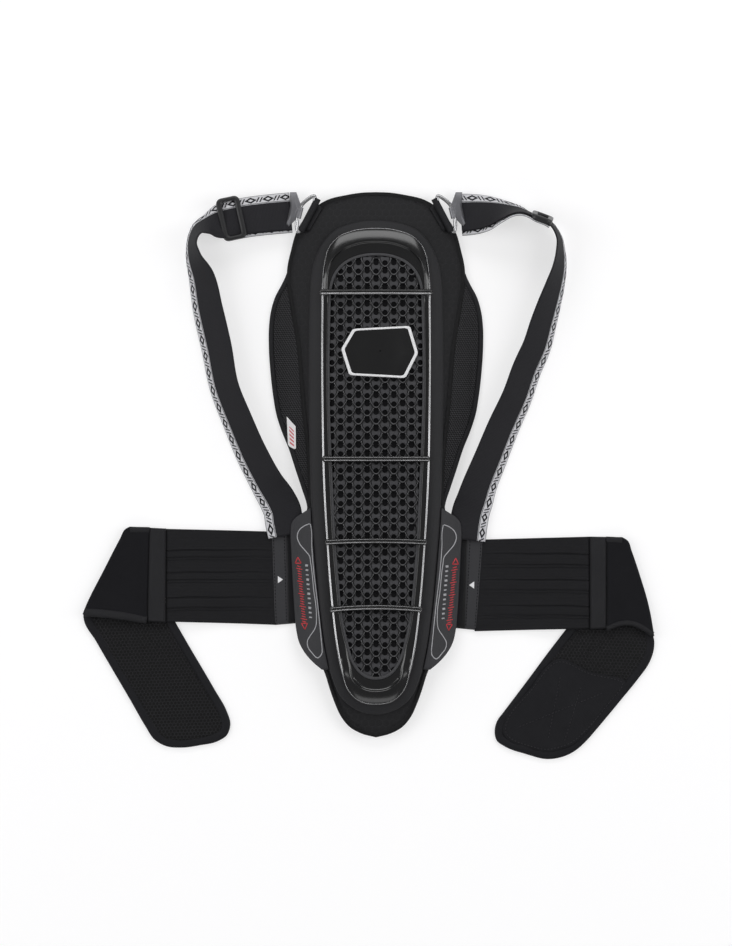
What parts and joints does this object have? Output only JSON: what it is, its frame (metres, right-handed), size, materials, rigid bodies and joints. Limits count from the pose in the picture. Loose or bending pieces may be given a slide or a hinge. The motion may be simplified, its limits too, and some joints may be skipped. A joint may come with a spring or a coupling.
{
  "type": "back protector",
  "caption": "Motorcycle back protector: arched foam shell with a framed hexagon lattice, mesh wings, adjustable shoulder straps and a fold-over waist belt.",
  "frame": {"origin": "under the middle of the object, on the surface it lies on body side down", "axes": "+X across the back to the right in plan view, +Y towards the neck, +Z away from the body"},
  "size_m": [0.5733, 0.5709, 0.0501],
  "materials": {
    "foam_cover": "matt laminated knit",
    "gloss_black": "high gloss moulded",
    "lattice_grey": "satin moulded",
    "core_black": "matt moulded",
    "spacer_mesh": "open hexagon air mesh",
    "panel_laminate": "matt coated laminate",
    "hook_and_loop": "short pile",
    "strap_webbing": "ribbed jacquard webbing",
    "belt_fabric": "brushed elastic knit",
    "slider_plastic": "fine moulded grain",
    "hook_grey": "satin coated",
    "label_white": "white rimmed black"
  },
  "bodies": {
    "root": {"rear_comfort_pad": "spacer_mesh", "foam_chassis": "foam_cover", "frame_surround": "foam_cover", "gloss_frame": "gloss_black", "inner_plate": "core_black", "honeycomb_core": "core_black", "hex_lattice": "lattice_grey", "front_badge": "label_white", "side_label": "label_white", "cross_bar_1": "gloss_black", "cross_bar_2": "gloss_black", "cross_bar_3": "gloss_black", "cross_bar_4": "gloss_black", "left_mesh_wing": "spacer_mesh", "left_wing_binding": "foam_cover", "left_waist_panel": "panel_laminate", "left_panel_loop_patch": "hook_and_loop", "left_ring_tab": "strap_webbing", "left_shoulder_ring": "hook_grey", "left_strap_anchor": "strap_webbing", "right_mesh_wing": "spacer_mesh", "right_wing_binding": "foam_cover", "right_waist_panel": "panel_laminate", "right_panel_loop_patch": "hook_and_loop", "right_ring_tab": "strap_webbing", "right_shoulder_ring": "hook_grey", "right_strap_anchor": "strap_webbing"},
    "left_belt_tab": {"left_belt_tab": "panel_laminate", "left_tab_hook_strip": "hook_and_loop"},
    "left_belt": {"left_belt_liner": "spacer_mesh", "left_belt_elastic": "belt_fabric", "left_belt_stay_1": "core_black", "left_belt_stay_2": "core_black", "left_belt_stay_3": "core_black", "left_belt_band": "belt_fabric", "left_belt_neoprene": "belt_fabric"},
    "left_belt_end": {"left_belt_end": "spacer_mesh", "left_belt_end_binding": "belt_fabric"},
    "left_shoulder_strap": {"left_strap": "strap_webbing", "left_strap_return": "strap_webbing", "left_strap_hook": "hook_grey"},
    "left_slider": {"left_slider": "slider_plastic"},
    "right_belt_tab": {"right_belt_tab": "panel_laminate", "right_tab_hook_strip": "hook_and_loop"},
    "right_belt": {"right_belt_liner": "spacer_mesh", "right_belt_elastic": "belt_fabric", "right_belt_stay_1": "core_black", "right_belt_stay_2": "core_black", "right_belt_stay_3": "core_black", "right_belt_band": "belt_fabric", "right_belt_neoprene": "belt_fabric"},
    "right_belt_end": {"right_belt_end": "spacer_mesh", "right_belt_end_binding": "belt_fabric", "right_end_hook_patch": "hook_and_loop"},
    "right_shoulder_strap": {"right_strap": "strap_webbing", "right_strap_return": "strap_webbing", "right_strap_hook": "hook_grey"},
    "right_slider": {"right_slider": "slider_plastic"}
  },
  "joints": [
    {"name": "left_strap_swing", "type": "hinge", "parent": "root", "child": "left_shoulder_strap", "pos_m": [-0.0675, 0.267, 0.015], "axis": [0.0603, 0.9978, 0.0268], "range_deg": [-60, 80]},
    {"name": "left_slider_slide", "type": "slide", "parent": "left_shoulder_strap", "child": "left_slider", "axis": [0.9989, 0.03, -0.035], "range_m": [0, 0.03]},
    {"name": "left_belt_height", "type": "slide", "parent": "root", "child": "left_belt_tab", "axis": [-0.029, 0.9996, 0], "range_m": [-0.043, 0.014]},
    {"name": "left_belt_wrap", "type": "hinge", "parent": "left_belt_tab", "child": "left_belt", "pos_m": [-0.0968, -0.058, -0.0001], "axis": [0.029, -0.9996, 0], "range_deg": [0, 100]},
    {"name": "left_belt_fold", "type": "hinge", "parent": "left_belt", "child": "left_belt_end", "pos_m": [-0.2421, -0.052, 0.00395], "axis": [0.4496, 0.8932, 0], "range_deg": [0, 180]},
    {"name": "right_strap_swing", "type": "hinge", "parent": "root", "child": "right_shoulder_strap", "pos_m": [0.0825, 0.267, 0.015], "axis": [0.0636, -0.9976, -0.0268], "range_deg": [-60, 80]},
    {"name": "right_slider_slide", "type": "slide", "parent": "right_shoulder_strap", "child": "right_slider", "axis": [-0.908, 0.4191, 0], "range_m": [0, 0.006]},
    {"name": "right_belt_height", "type": "slide", "parent": "root", "child": "right_belt_tab", "axis": [0.076, 0.9971, 0], "range_m": [-0.037, 0.02]},
    {"name": "right_belt_wrap", "type": "hinge", "parent": "right_belt_tab", "child": "right_belt", "pos_m": [0.1146, -0.0655, -0.0001], "axis": [0.076, 0.9971, 0], "range_deg": [0, 100]},
    {"name": "right_belt_fold", "type": "hinge", "parent": "right_belt", "child": "right_belt_end", "pos_m": [0.2577, -0.065, 0.00395], "axis": [0.2732, -0.962, 0], "range_deg": [0, 180]}
  ]
}
